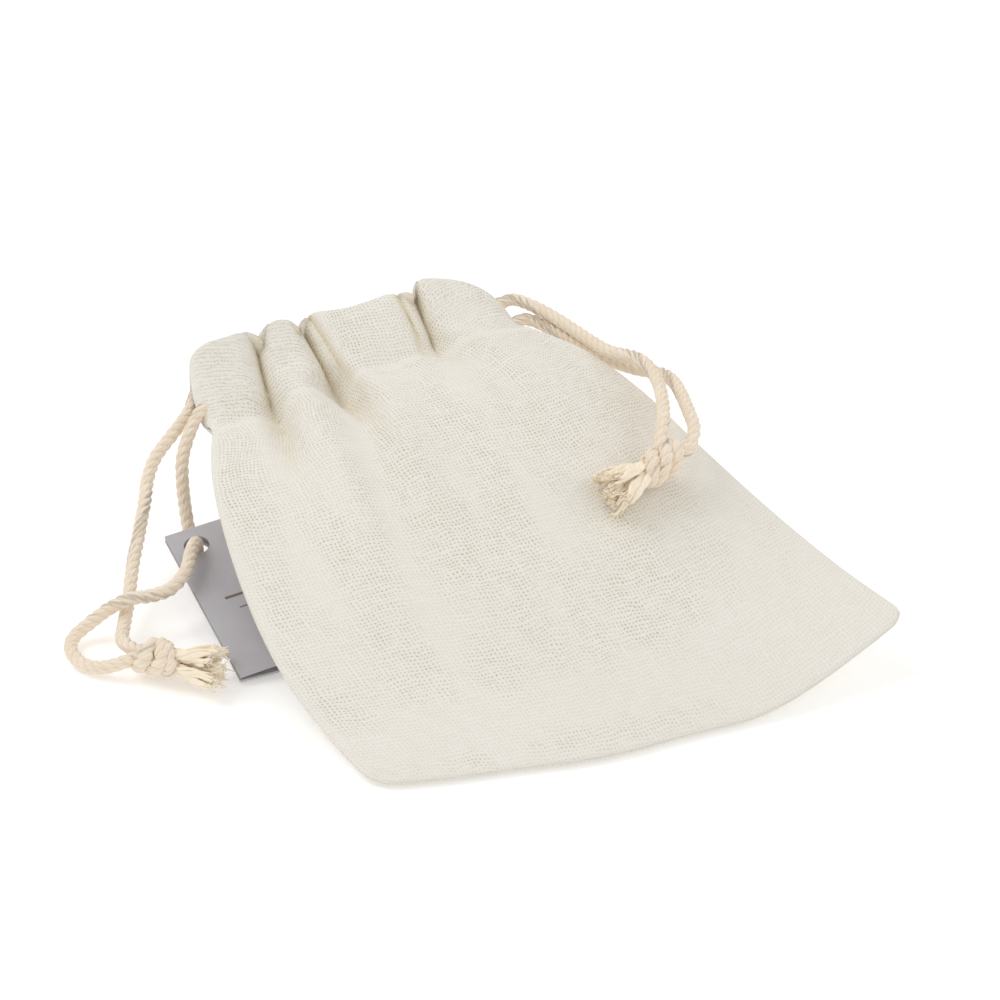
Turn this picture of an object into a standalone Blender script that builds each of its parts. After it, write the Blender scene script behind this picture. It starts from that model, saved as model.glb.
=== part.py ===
"""Cotton drawstring pouch lying on a table, mouth end raised, with two drawcords and a folded hang tag.

X runs along the bottom seam (to the right), Y from the bottom seam to the mouth, Z up from the table.
All dimensions are in millimetres and are turned into metres by MM.
"""
from math import cos, pi, radians, sin

import bmesh
import bpy
from mathutils import Matrix, Vector

MM = 0.001
ORIGIN = (-8.87, -3.57, 0.0)        # centre of the pouch and tag on the table, in drawing coordinates

# cloth
CLOTH = 0.8                        # thickness of one panel, hem and weave together
GAP = 0.3                          # clearance between neighbouring pieces
STACK = CLOTH + GAP                # spacing of the layers in a seam
SEAM_W = 4.0                       # width of a seam allowance

# the pouch outline at seven stations from the bottom seam to the channel
STATION = (0.0, 0.17, 0.35, 0.53, 0.71, 0.86, 1.0)
SIDE_Y = (-60.0, -43.0, -24.0, -4.0, 16.0, 30.0, 41.5)
LEFT_X = (-59.0, -63.5, -67.0, -67.5, -65.5, -62.0, -57.5)
LEFT_Z = (2.0, 4.5, 9.0, 15.5, 22.5, 26.5, 27.6)
RIGHT_X = (58.0, 51.0, 43.5, 35.0, 28.0, 21.0, 13.0)
RIGHT_Z = (12.0, 15.5, 21.0, 27.0, 32.0, 34.8, 35.1)
ARCH = (0.0, 3.0, 6.0, 8.0, 8.0, 5.0, 0.2)          # rise of the front panel over its side edges
BOTTOM_BOW = 8.0                   # the bottom seam bows outwards by this much
FLAT_LEFT, FLAT_RIGHT = 0.20, 0.45  # share of each half width that lies flat on the table
BELLY = 4.4                        # height of the back panel under the mouth

# drawcord channel
TILT = radians(15.0)               # slope of the front channel, from its stitching to its lip
CH_X0, CH_X1 = -58.0, 13.0         # ends of the front channel
CH_Y = 51.4                        # its centre line
CH_MID = (CH_X0 + CH_X1) / 2       # level as far as here, then rising to the right
CH_Z0, CH_Z1 = 31.0, 38.5          # height of the centre line in the level part and at the right end
CH_W, CH_T = 18.0, 7.2             # its width and outer thickness
CH_WALL = 0.9
BACK_REACH = 0.86                  # the back channel covers this share of the mouth's half width
LANE = 3.6                         # each cord runs this far from the centre line
STITCH_R = 0.3

# cords
CORD_R = 1.5
HIDDEN = 34.0                      # length of cord inside the channel
SPACING = 3.5                      # distance between the points of a cord

# hang tag
TAG_W, TAG_H, TAG_T = 28.0, 46.0, 0.5
TAG_CORNER = (-73.0, -15.5, 1.2)   # lower end of the fold
TAG_SLOPE = radians(11.0)
TAG_TURN = radians(4.0)            # turn of the fold about the vertical
LEAF_ANGLE = radians(6.0)          # the front leaf stands open by this much
HOLE_X, HOLE_Y, HOLE_R = 5.8, 40.5, 2.8

for item in list(bpy.data.objects):
    bpy.data.objects.remove(item, do_unlink=True)

POUCH = bpy.data.collections.new("drawstring_pouch")
CUTTERS = bpy.data.collections.new("cutters")
for group in (POUCH, CUTTERS):
    bpy.context.scene.collection.children.link(group)
CUTTERS.hide_render = True


def material(name, colour, roughness):
    made = bpy.data.materials.new(name)
    made.use_nodes = True
    shader = made.node_tree.nodes["Principled BSDF"]
    shader.inputs["Base Color"].default_value = (*colour, 1.0)
    shader.inputs["Roughness"].default_value = roughness
    made.diffuse_color = (*colour, 1.0)
    return made


COTTON = material("cotton_muslin", (0.80, 0.76, 0.66), 0.9)
CHANNEL = material("cotton_channel", (0.78, 0.73, 0.63), 0.9)
THREAD = material("cotton_thread", (0.85, 0.82, 0.72), 0.8)
CORD = material("cotton_cord", (0.76, 0.65, 0.51), 0.85)
YARN = material("cotton_yarn", (0.70, 0.58, 0.42), 0.9)
CARD = material("grey_card", (0.48, 0.47, 0.50), 0.7)


def place(item, mat, group=POUCH):
    if mat:
        item.data.materials.append(mat.copy())
        item.data.materials[0].name = mat.name + "_" + item.name
    group.objects.link(item)
    return item


def local(point):
    return tuple((value - shift) * MM for value, shift in zip(point, ORIGIN))


def finished(name, bm, mat, group=POUCH, smooth=True):
    """Object made from a bmesh whose coordinates are drawing millimetres."""
    for vertex in bm.verts:
        vertex.co = local(vertex.co)
    for face in bm.faces:
        face.smooth = smooth
    data = bpy.data.meshes.new(name)
    bm.to_mesh(data)
    bm.free()
    return place(bpy.data.objects.new(name, data), mat, group)


def thicken(item, thickness, offset):
    solid = item.modifiers.new("thickness", "SOLIDIFY")
    solid.thickness = thickness * MM
    solid.offset = offset
    solid.use_even_offset = False


def curve_through(values, at):
    """Smooth value at a station between 0 and 1, through the listed values."""
    last = len(STATION) - 2
    i = max([k for k in range(last + 1) if STATION[k] <= at] or [0])
    a, b = STATION[i], STATION[i + 1]
    before, after = max(i - 1, 0), min(i + 2, last + 1)
    slope_a = (values[i + 1] - values[before]) / (b - STATION[before])
    slope_b = (values[after] - values[i]) / (STATION[after] - a)
    t, h = (at - a) / (b - a), b - a
    return ((2 * t**3 - 3 * t**2 + 1) * values[i] + (t**3 - 2 * t**2 + t) * h * slope_a
            + (3 * t**2 - 2 * t**3) * values[i + 1] + (t**3 - t**2) * h * slope_b)


def seam_point(r, s):
    """Point on the sheet between the two panels: r is -1 at the left seam, 1 at the right."""
    x = curve_through(LEFT_X, s) * (1 - r) / 2 + curve_through(RIGHT_X, s) * (1 + r) / 2
    y = curve_through(SIDE_Y, s) - BOTTOM_BOW * (1 - r * r) * (1 - s) ** 3
    low, high = curve_through(LEFT_Z, s), curve_through(RIGHT_Z, s)
    lift = max(0.0, (r - 0.3) / 0.7) ** 1.5
    curled = low + (high - low) * lift
    neck = max(0.0, (s - 0.7) / 0.3)
    straight = low + (high - low) * ((1 + r) / 2 * (1 - neck) + max(0.0, r) * neck)
    share = min(1.0, s / 0.35)
    return Vector((x, y, curled * (1 - share) + straight * share))


def front_point(r, s):
    point = seam_point(r, s)
    point.z += STACK + curve_through(ARCH, s) * (1 - abs(r) ** 2.2)
    return point


def back_point(r, s):
    point = seam_point(r, s)
    flat = FLAT_LEFT if r < 0 else FLAT_RIGHT
    t = max(0.0, (abs(r) - flat) / (1 - flat))
    rise = 1 - (1 - t) ** 2
    floor = CLOTH / 2
    edge = point.z - STACK
    lying = floor + (edge - floor) * rise
    if s < 0.12:
        lying = lying * s / 0.12 + edge * (1 - s / 0.12)
    neck = max(0.0, (s - 0.80) / 0.20)
    neck = neck * neck * (3 - 2 * neck)
    hung = BELLY + (edge - BELLY) * r * r
    point.z = lying * (1 - neck) + hung * neck
    return point


def cloth_sheet(name, shape, columns, rows, mat):
    """Grid bent to shape(u, v), with u from -1 to 1 and v from 0 to 1, and given the cloth's thickness."""
    bm = bmesh.new()
    bmesh.ops.create_grid(bm, x_segments=columns, y_segments=rows, size=1.0)
    for vertex in bm.verts:
        vertex.co = shape(vertex.co.x, (vertex.co.y + 1) / 2)
    thicken(finished(name, bm, mat), CLOTH, 0.0)


def side_seam(name, side):
    """Seam allowance between the panels along one side."""
    def strip(u, v):
        s = 0.08 + 0.905 * v
        half = (curve_through(RIGHT_X, s) - curve_through(LEFT_X, s)) / 2
        return seam_point(side * (1 - (0.6 + SEAM_W * (u + 1) / 2) / half), s)
    cloth_sheet(name, strip, 1, 14, COTTON)


cloth_sheet("front_panel", front_point, 20, 14, COTTON)
cloth_sheet("back_panel", back_point, 20, 14, COTTON)
side_seam("left_side_seam", -1)
side_seam("right_side_seam", 1)
cloth_sheet("bottom_seam", lambda u, v: seam_point(0.97 * u, 0.006 + 0.038 * v), 20, 1, COTTON)


def steps(start, end, count):
    return [start + (end - start) * k / (count - 1) for k in range(count)]


def channel_z(x):
    return CH_Z0 + (CH_Z1 - CH_Z0) * max(0.0, (x - CH_MID) / (CH_X1 - CH_MID))


def flat_tube(name, stations, sides=16):
    """Flattened tube, open at both ends: each station is (centre, width direction, thickness direction)."""
    bm = bmesh.new()
    angles = [2 * pi * k / sides for k in range(sides)]
    before = None
    for centre, u, n in stations:
        ring = [bm.verts.new(centre + u * (CH_W / 2 * cos(a)) + n * (CH_T / 2 * sin(a))) for a in angles]
        for k in range(sides if before else 0):
            after = (k + 1) % sides
            bm.faces.new((before[k], before[after], ring[after], ring[k]))
        before = ring
    bmesh.ops.recalc_face_normals(bm, faces=bm.faces)
    thicken(finished(name, bm, CHANNEL), CH_WALL, -1.0)


def back_channel_station(r):
    edge = back_point(r, 1.0)
    slope = radians(6.0) + TILT * r * r
    u = Vector((0, cos(slope), sin(slope)))
    ahead = back_point(min(r + 0.02, 1.0), 1.0) - back_point(max(r - 0.02, -1.0), 1.0)
    n = ahead.cross(u).normalized()
    return edge + Vector((0, 1.6, 0)) + u * (CH_W / 2), u, n


up_the_cloth = Vector((0, cos(TILT), sin(TILT)))
out_of_cloth = Vector((0, -sin(TILT), cos(TILT)))
flat_tube("front_channel", [(Vector((x, CH_Y, channel_z(x))), up_the_cloth, out_of_cloth)
                            for x in (CH_X0, CH_MID, CH_X1)])
flat_tube("back_channel", [back_channel_station(r) for r in steps(-BACK_REACH, BACK_REACH, 15)])


def smooth_path(points, spacing):
    """Points along a Catmull-Rom curve through the given ones, about one per spacing."""
    path = [Vector(p) for p in points]
    path = [path[0] * 2 - path[1]] + path + [path[-1] * 2 - path[-2]]
    dense = []
    for a, b, c, d in zip(path, path[1:], path[2:], path[3:]):
        for k in range(12):
            t = k / 12
            dense.append(0.5 * (2 * b + (c - a) * t + (2 * a - 5 * b + 4 * c - d) * t * t
                                + (3 * b - a - 3 * c + d) * t**3))
    dense.append(path[-2])
    total = sum((q - p).length for p, q in zip(dense, dense[1:]))
    count = max(2, round(total / spacing))
    kept, run, target = [dense[0]], 0.0, total / count
    for p, q in zip(dense, dense[1:]):
        step = (q - p).length
        while run + step >= target and len(kept) < count:
            kept.append(p.lerp(q, (target - run) / step))
            target += total / count
        run += step
    return kept + [dense[-1]]


def cord(name, points, radius=CORD_R, spacing=SPACING, mat=CORD):
    """Round cord along a smooth path."""
    path = smooth_path(points, spacing)
    data = bpy.data.curves.new(name, "CURVE")
    data.dimensions = "3D"
    data.bevel_depth = radius * MM
    data.bevel_resolution = 2
    data.use_fill_caps = True
    spline = data.splines.new("POLY")
    spline.points.add(len(path) - 1)
    for knot, p in zip(spline.points, path):
        knot.co = (*local(p), 1.0)
    return place(bpy.data.objects.new(name, data), mat)


front_edge = CH_Y - CH_W / 2 * cos(TILT) - GAP - STITCH_R
front_row = [(x, front_edge, channel_z(x) - CH_W / 2 * sin(TILT) - 0.1) for x in steps(CH_X0 + 2, CH_X1 - 2, 9)]
back_row = [back_point(r, 1.0) + Vector((0, 0.8, 0)) for r in steps(0.02 - BACK_REACH, BACK_REACH - 0.02, 13)]
cord("front_stitching", front_row, STITCH_R, 5.0, THREAD)
cord("back_stitching", back_row, STITCH_R, 5.0, THREAD)


def lane(x, side):
    """Point on a cord's straight way through the front channel."""
    return (x, CH_Y + side * LANE * cos(TILT), channel_z(x) + side * LANE * sin(TILT))


def turned(name, start, axis, profile, mat, squash=1.0):
    """Solid turned round an axis: the profile lists (distance along the axis, radius), far end first."""
    outline = [(0.0, profile[0][0])] + [(radius, along) for along, radius in profile] + [(0.0, profile[-1][0])]
    data = bpy.data.meshes.new(name)
    edges = [(k, k + 1) for k in range(len(outline) - 1)]
    data.from_pydata([(radius * MM, 0.0, along * MM) for radius, along in outline], edges, [])
    item = place(bpy.data.objects.new(name, data), mat)
    turn = item.modifiers.new("turn", "SCREW")
    turn.steps = 14
    turn.render_steps = 14
    turn.use_merge_vertices = True
    turn.merge_threshold = 0.00001
    axis = Vector(axis).normalized()
    across = axis.cross(Vector((0, 0, 1))).normalized()
    over = axis.cross(across)
    stand = Matrix((across, over * squash, axis)).transposed().to_4x4()
    stand.translation = local(start)
    item.matrix_world = stand


KNOT = ((8.8, 2.6), (8.0, 4.0), (6.8, 4.8), (5.6, 4.5), (4.3, 4.9), (3.1, 4.2), (1.8, 4.5), (0.7, 3.8),
        (0.0, 2.4))
TASSEL = ((19.5, 4.0), (18.0, 5.2), (15.5, 5.0), (13.0, 4.2), (10.5, 3.0), (9.1, 2.4))
LEFT_KNOT, LEFT_AXIS = (-91.2, -4.2, 5.3), (0.77, -0.64, 0.0)
RIGHT_KNOT, RIGHT_AXIS = (25.2, -14.0, 33.4), (-0.94, -0.28, -0.12)

for label, knot_start, knot_axis in (("left", LEFT_KNOT, LEFT_AXIS), ("right", RIGHT_KNOT, RIGHT_AXIS)):
    turned(label + "_knot", knot_start, knot_axis, KNOT, CORD)
    turned(label + "_tassel", knot_start, knot_axis, TASSEL, YARN, squash=0.72)

cord("left_strand_outer", [
    lane(CH_X0 + HIDDEN, 1), lane(CH_X0 + 20, 1), lane(CH_X0, 1), (-60.8, 53.6, 30.6), (-63.2, 51.2, 28.0),
    (-68.0, 48.0, 25.0), (-72.7, 45.6, 21.5), (-75.7, 42.0, 18.4), (-77.9, 37.0, 15.9), (-81.2, 30.2, 12.6),
    (-84.6, 23.4, 9.2), (-87.7, 15.8, 6.2), (-90.2, 9.8, 4.8), (-92.6, 3.2, 4.6), (-92.2, -0.9, 5.2)])
cord("left_strand_inner", [
    lane(CH_X0 + HIDDEN, -1), lane(CH_X0 + 20, -1), lane(CH_X0, -1), (-60.8, 47.5, 30.2), (-64.0, 45.8, 27.4),
    (-67.2, 43.0, 22.0), (-68.4, 40.2, 17.0), (-68.6, 38.4, 11.6), (-68.8, 35.4, 6.6), (-69.3, 30.0, 3.5),
    (-69.9, 25.8, 5.8), (-70.0, 24.5, 9.0), (-70.6, 22.8, 12.0), (-72.9, 18.3, 12.8), (-75.6, 13.4, 11.2),
    (-79.8, 10.6, 9.6), (-84.2, 9.8, 9.4), (-88.6, 10.0, 9.6), (-93.0, 11.6, 7.2), (-97.3, 12.6, 3.8),
    (-101.0, 11.2, 2.2), (-102.8, 7.0, 1.9), (-102.0, 1.6, 1.9), (-99.4, -2.0, 2.4), (-96.2, -4.2, 3.6),
    (-93.4, -5.0, 4.6)])
cord("right_strand_outer", [
    lane(CH_X1 - HIDDEN, 1), lane(CH_X1 - 20, 1), lane(CH_X1, 1), (15.6, 53.8, 40.2), (18.0, 50.2, 40.2),
    (20.7, 44.5, 39.8), (23.0, 38.3, 39.2), (24.9, 31.0, 39.0), (26.4, 25.0, 39.2), (28.3, 20.8, 39.9),
    (30.1, 16.4, 40.7), (30.5, 10.9, 41.0), (29.5, 4.4, 41.0), (27.8, -1.6, 40.5), (25.8, -6.9, 39.6),
    (24.0, -10.2, 38.6)])
cord("right_strand_inner", [
    lane(CH_X1 - HIDDEN, -1), lane(CH_X1 - 20, -1), lane(CH_X1, -1), (16.6, 48.2, 37.6), (19.4, 45.6, 36.9),
    (21.9, 40.9, 36.4), (24.4, 35.0, 35.7), (26.8, 29.3, 35.4), (29.2, 24.8, 35.4), (31.3, 20.7, 35.8),
    (33.6, 17.0, 36.4), (35.3, 13.0, 37.2), (35.2, 7.6, 37.8), (34.0, 1.4, 38.2), (32.2, -6.5, 38.2),
    (31.2, -10.9, 37.6), (29.8, -13.3, 36.4), (28.4, -14.6, 35.2)])


def tag_frame(leaf_angle):
    """Corner and directions of a leaf: across from the fold, up along the fold, out of the card."""
    along = Vector((-sin(TAG_TURN) * cos(TAG_SLOPE), cos(TAG_TURN) * cos(TAG_SLOPE), sin(TAG_SLOPE)))
    level = along.cross(Vector((0, 0, 1))).normalized()
    out = level.cross(along).normalized()
    across = level * cos(leaf_angle) + out * sin(leaf_angle)
    return Vector(TAG_CORNER), across, along, across.cross(along).normalized()


def tag_leaf(name, leaf_angle, level):
    """One leaf of the folded card, with its half of the cord hole."""
    corner, across, along, out = tag_frame(leaf_angle)
    axes = Matrix((across, along, out)).transposed().to_4x4()
    bm = bmesh.new()
    bmesh.ops.create_cube(bm, size=1.0)
    for vertex in bm.verts:
        vertex.co.x = 0.4 + (TAG_W - 0.4) * (vertex.co.x + 0.5)
        vertex.co.y = TAG_H * (vertex.co.y + 0.5)
        vertex.co.z = level + TAG_T * (vertex.co.z + 0.5)
    bmesh.ops.transform(bm, matrix=Matrix.Translation(corner) @ axes, verts=bm.verts)
    leaf = finished(name, bm, CARD, smooth=False)
    drill = bmesh.new()
    place_hole = Matrix.Translation(corner + across * HOLE_X + along * HOLE_Y) @ axes
    bmesh.ops.create_cone(drill, cap_ends=True, segments=24, radius1=HOLE_R, radius2=HOLE_R, depth=8.0,
                          matrix=place_hole)
    punch = finished(name + "_punch", drill, None, CUTTERS, smooth=False)
    punch.hide_render = True
    punch.display_type = "WIRE"
    cut = leaf.modifiers.new("hole", "BOOLEAN")
    cut.operation = "DIFFERENCE"
    cut.solver = "EXACT"
    cut.object = punch


tag_leaf("tag_front_leaf", LEAF_ANGLE, 0.45)
tag_leaf("tag_back_leaf", 0.0, -0.65)


def carry(label, origin, pieces):
    """Empty on a joint's axis that carries the pieces moving with it."""
    pivot = bpy.data.objects.new(label, None)
    pivot.location = local(origin)
    pivot.empty_display_size = 5 * MM
    POUCH.objects.link(pivot)
    bpy.context.view_layer.update()
    for piece in pieces:
        bpy.data.objects[piece].parent = pivot
        bpy.data.objects[piece].matrix_parent_inverse = pivot.matrix_world.inverted()


carry("left_drawcord_pull", (CH_X0, CH_Y, CH_Z0),
      ("left_strand_outer", "left_strand_inner", "left_knot", "left_tassel", "tag_back_leaf"))
carry("right_drawcord_pull", (CH_X1, CH_Y, CH_Z1),
      ("right_strand_outer", "right_strand_inner", "right_knot", "right_tassel"))
carry("tag_leaf_open", TAG_CORNER, ("tag_front_leaf",))
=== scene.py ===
"""Looks of the cotton drawstring pouch: gathered cloth, twisted cords, knots, frayed ends and a card tag."""
from math import cos, pi, radians, sin

import bpy
import numpy as np
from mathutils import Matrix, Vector

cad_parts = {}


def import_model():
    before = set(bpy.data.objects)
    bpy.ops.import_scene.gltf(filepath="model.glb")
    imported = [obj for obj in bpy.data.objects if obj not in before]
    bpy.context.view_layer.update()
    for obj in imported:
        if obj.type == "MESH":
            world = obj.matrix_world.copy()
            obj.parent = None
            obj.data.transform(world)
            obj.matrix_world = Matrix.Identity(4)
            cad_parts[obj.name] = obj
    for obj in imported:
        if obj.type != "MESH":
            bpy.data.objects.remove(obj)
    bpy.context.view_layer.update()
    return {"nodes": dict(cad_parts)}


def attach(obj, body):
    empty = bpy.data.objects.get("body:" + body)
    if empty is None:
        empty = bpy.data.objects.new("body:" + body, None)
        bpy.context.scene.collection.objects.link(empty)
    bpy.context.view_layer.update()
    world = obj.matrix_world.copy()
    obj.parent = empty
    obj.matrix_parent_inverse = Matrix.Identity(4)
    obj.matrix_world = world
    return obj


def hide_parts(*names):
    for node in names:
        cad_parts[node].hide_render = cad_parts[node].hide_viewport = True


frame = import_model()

MM = 0.001
# Shapes are drawn in mm, in the coordinates that part.py uses; the frame's origin lies here in them.
ORIGIN = np.array((-8.87, -3.57, 0.0))

# cords
CORD_R = 1.5
LAY = 6.2                      # length of one full twist of the strands
STRANDS, STRAND_SIDES = 3, 9
STRAND_OFFSET, STRAND_R = 0.42, 0.60   # as shares of the cord's radius

# weave
WARP, WEFT = 0.82, 0.92        # spacing of the threads across and along the cloth, mm

# plain rules printed on the tag: from and to across it, from and to along it, mm
RULES = (((5.5, 22.0), (22.2, 23.0)), ((7.4, 20.0), (18.6, 19.0)))

# camera
CAM_AZIMUTH, CAM_ELEVATION, CAM_DISTANCE = -21.3, 31.0, 600.0
CAM_AIM = (-7.7, 3.2, 20.0)
CAM_LENS = 100.0


def world(points):
    """Drawing coordinates in mm to the frame's metres."""
    return (np.asarray(points, float) - ORIGIN) * MM


# ---------------------------------------------------------------- camera

def make_camera():
    """The camera of the photo, as near as it could be matched."""
    az, el = radians(CAM_AZIMUTH), radians(CAM_ELEVATION)
    back = Vector((sin(az) * cos(el), -cos(az) * cos(el), sin(el)))
    data = bpy.data.cameras.new("camera")
    data.lens = CAM_LENS
    data.clip_start, data.clip_end = 0.01, 20.0
    item = bpy.data.objects.new("camera", data)
    bpy.context.scene.collection.objects.link(item)
    item.location = Vector(world(CAM_AIM)) + back * CAM_DISTANCE * MM
    item.rotation_euler = back.to_track_quat("Z", "Y").to_euler()
    bpy.context.scene.camera = item


# ---------------------------------------------------------------- node helpers

class Nodes:
    """Short way of wiring shader nodes."""

    def __init__(self, name):
        self.mat = bpy.data.materials.new(name)
        self.mat.use_nodes = True
        self.tree = self.mat.node_tree
        self.shader = self.tree.nodes["Principled BSDF"]

    def link(self, value, socket):
        if isinstance(value, bpy.types.NodeSocket):
            self.tree.links.new(value, socket)
        else:
            socket.default_value = value

    def math(self, operation, a, b=None, c=None, clamp=False):
        node = self.tree.nodes.new("ShaderNodeMath")
        node.operation = operation
        node.use_clamp = clamp
        for value, socket in zip((a, b, c), node.inputs):
            if value is not None:
                self.link(value, socket)
        return node.outputs[0]

    def combine(self, x, y, z=0.0):
        node = self.tree.nodes.new("ShaderNodeCombineXYZ")
        for value, socket in zip((x, y, z), node.inputs):
            self.link(value, socket)
        return node.outputs[0]

    def noise(self, vector, scale, detail=2.0, rough=0.5):
        node = self.tree.nodes.new("ShaderNodeTexNoise")
        self.link(vector, node.inputs["Vector"])
        node.inputs["Scale"].default_value = scale
        node.inputs["Detail"].default_value = detail
        node.inputs["Roughness"].default_value = rough
        return node.outputs["Fac"]

    def attribute(self, name):
        node = self.tree.nodes.new("ShaderNodeAttribute")
        node.attribute_name = name
        return node.outputs["Fac"]

    def uv(self):
        node = self.tree.nodes.new("ShaderNodeUVMap")
        node.uv_map = "cloth"
        split = self.tree.nodes.new("ShaderNodeSeparateXYZ")
        self.tree.links.new(node.outputs[0], split.inputs[0])
        return node.outputs[0], split.outputs[0], split.outputs[1]

    def coords(self):
        return self.tree.nodes.new("ShaderNodeTexCoord").outputs["Object"]

    def ramp(self, fac, stops):
        node = self.tree.nodes.new("ShaderNodeValToRGB")
        while len(node.color_ramp.elements) < len(stops):
            node.color_ramp.elements.new(0.5)
        for element, (at, colour) in zip(node.color_ramp.elements, stops):
            element.position = at
            element.color = (*colour, 1.0)
        self.link(fac, node.inputs[0])
        return node.outputs[0]

    def mix(self, fac, a, b, blend="MIX"):
        node = self.tree.nodes.new("ShaderNodeMix")
        node.data_type = "RGBA"
        node.blend_type = blend
        self.link(fac, node.inputs[0])
        for value, socket in ((a, node.inputs[6]), (b, node.inputs[7])):
            self.link((*value, 1.0) if isinstance(value, tuple) else value, socket)
        return node.outputs[2]

    def bump(self, height, strength, distance):
        node = self.tree.nodes.new("ShaderNodeBump")
        node.inputs["Strength"].default_value = strength
        node.inputs["Distance"].default_value = distance
        self.link(height, node.inputs["Height"])
        return node.outputs[0]

    def out(self, **values):
        for name, value in values.items():
            self.link(value, self.shader.inputs[name.replace("_", " ")])
        return self.mat


# ---------------------------------------------------------------- materials

def weave_material(name, light, dark, shade_and_tone, veil):
    """Plain weave of soft cotton yarn; UV is the flat cloth in metres, veil the opacity of its holes. The
    fourth colour is painted shade for the pleat grooves; thread sides and holes also get painted shade.
    """
    n = Nodes(name)
    uv, u, v = n.uv()
    drift = n.math("MULTIPLY", n.math("SUBTRACT", n.noise(uv, 240.0, 4.0), 0.5), 2.0)
    drift2 = n.math("MULTIPLY", n.math("SUBTRACT", n.noise(n.combine(v, u, 0.3), 230.0, 4.0), 0.5), 2.6)
    a = n.math("ADD", n.math("DIVIDE", u, WARP * MM), drift)
    b = n.math("ADD", n.math("DIVIDE", v, WEFT * MM), drift2)
    i, j = n.math("FLOOR", a), n.math("FLOOR", b)
    fa = n.math("SUBTRACT", n.math("FRACT", a), 0.5)
    fb = n.math("SUBTRACT", n.math("FRACT", b), 0.5)
    slub_a = n.noise(n.combine(n.math("MULTIPLY", i, 7.31), n.math("MULTIPLY", b, 0.22), 0.0), 1.0, 3.0)
    slub_b = n.noise(n.combine(n.math("MULTIPLY", j, 5.17), n.math("MULTIPLY", a, 0.22), 9.0), 1.0, 3.0)
    half_a = n.math("MULTIPLY_ADD", slub_a, 0.34, 0.14)
    half_b = n.math("MULTIPLY_ADD", slub_b, 0.46, 0.13)
    ra, rb = n.math("DIVIDE", fa, half_a), n.math("DIVIDE", fb, half_b)
    round_a = n.math("SQRT", n.math("MAXIMUM", n.math("SUBTRACT", 1.0, n.math("MULTIPLY", ra, ra)), 0.0))
    round_b = n.math("SQRT", n.math("MAXIMUM", n.math("SUBTRACT", 1.0, n.math("MULTIPLY", rb, rb)), 0.0))
    odd = n.math("FLOORED_MODULO", n.math("ADD", i, j), 2.0)
    turn = n.math("SUBTRACT", n.math("MULTIPLY", odd, 2.0), 1.0)
    over_a = n.math("MULTIPLY", n.math("MULTIPLY", turn, n.math("COSINE", n.math("MULTIPLY", fb, pi))), 0.25)
    over_b = n.math("MULTIPLY", n.math("MULTIPLY", turn, n.math("COSINE", n.math("MULTIPLY", fa, pi))), -0.25)
    height_a = n.math("MULTIPLY", round_a, n.math("ADD", over_a, 0.78))
    height_b = n.math("MULTIPLY", round_b, n.math("ADD", over_b, 0.60))
    height = n.math("MAXIMUM", height_a, height_b)
    side = n.math("SUBTRACT", 1.0, height, clamp=True)
    hole = n.math("SUBTRACT", 1.0, n.math("MULTIPLY", n.math("MAXIMUM", round_a, round_b), 2.5, clamp=True))
    streak = n.noise(n.combine(n.math("MULTIPLY", u, 120.0), n.math("MULTIPLY", v, 42.0), 3.0), 1.0, 3.0)
    patch = n.math("MULTIPLY_ADD", streak, 4.5, -1.9, clamp=True)
    filled = n.math("ADD", n.attribute("contact"), n.math("MULTIPLY", patch, 0.75), clamp=True)
    hole = n.math("MULTIPLY", hole, n.math("MULTIPLY_ADD", filled, -0.85, 1.0))
    alpha = n.math("MULTIPLY_ADD", hole, veil - 1.0, 1.0)
    mottle = n.noise(uv, 34.0, 3.0)
    base = n.ramp(mottle, ((0.30, dark), (0.70, light)))
    # Darker colour: used below for a random darker tone of thinner threads and for painted shade.
    shade_and_tone_colour = (0.93 * dark[0], 0.895 * dark[1], 0.80 * dark[2])
    upper = n.math("GREATER_THAN", height_a, height_b)
    tone = n.math("ADD", n.math("MULTIPLY", upper, slub_a),
                  n.math("MULTIPLY", n.math("SUBTRACT", 1.0, upper), slub_b))
    thin = n.math("MULTIPLY_ADD", tone, -3.0, 1.9, clamp=True)
    base = n.mix(n.math("MULTIPLY", thin, n.math("MULTIPLY_ADD", filled, -0.40, 0.55)), base, shade_and_tone_colour)
    # Painted shade on the sides of each thread, away from its crown.
    base = n.mix(n.math("MULTIPLY", side, 0.45), base, shade_and_tone_colour)
    # Painted shade in the holes, as if the inside behind them lay in shadow; less where another layer lies
    # behind.
    base = n.mix(n.math("MULTIPLY", hole, 0.90), base, shade_and_tone_colour)
    yarn = n.noise(n.combine(n.math("MULTIPLY", u, 9000.0), n.math("MULTIPLY", v, 9000.0), 0.0), 1.0, 2.0)
    base = n.mix(n.math("MULTIPLY", yarn, 0.12), base, tuple(0.80 * c for c in dark), "MULTIPLY")
    # Painted shade in the pleat grooves, from the per-vertex shade value.
    base = n.mix(n.math("MULTIPLY", n.attribute("shade_and_tone"), 1.0, clamp=True), base, shade_and_tone)
    normal = n.bump(n.math("ADD", height, n.math("MULTIPLY", yarn, 0.12)), 0.42, 0.00018)
    n.shader.inputs["Roughness"].default_value = 0.92
    n.shader.inputs["Specular IOR Level"].default_value = 0.15
    n.shader.inputs["Sheen Weight"].default_value = 0.15
    return n.out(Base_Color=base, Alpha=alpha, Normal=normal)


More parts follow.
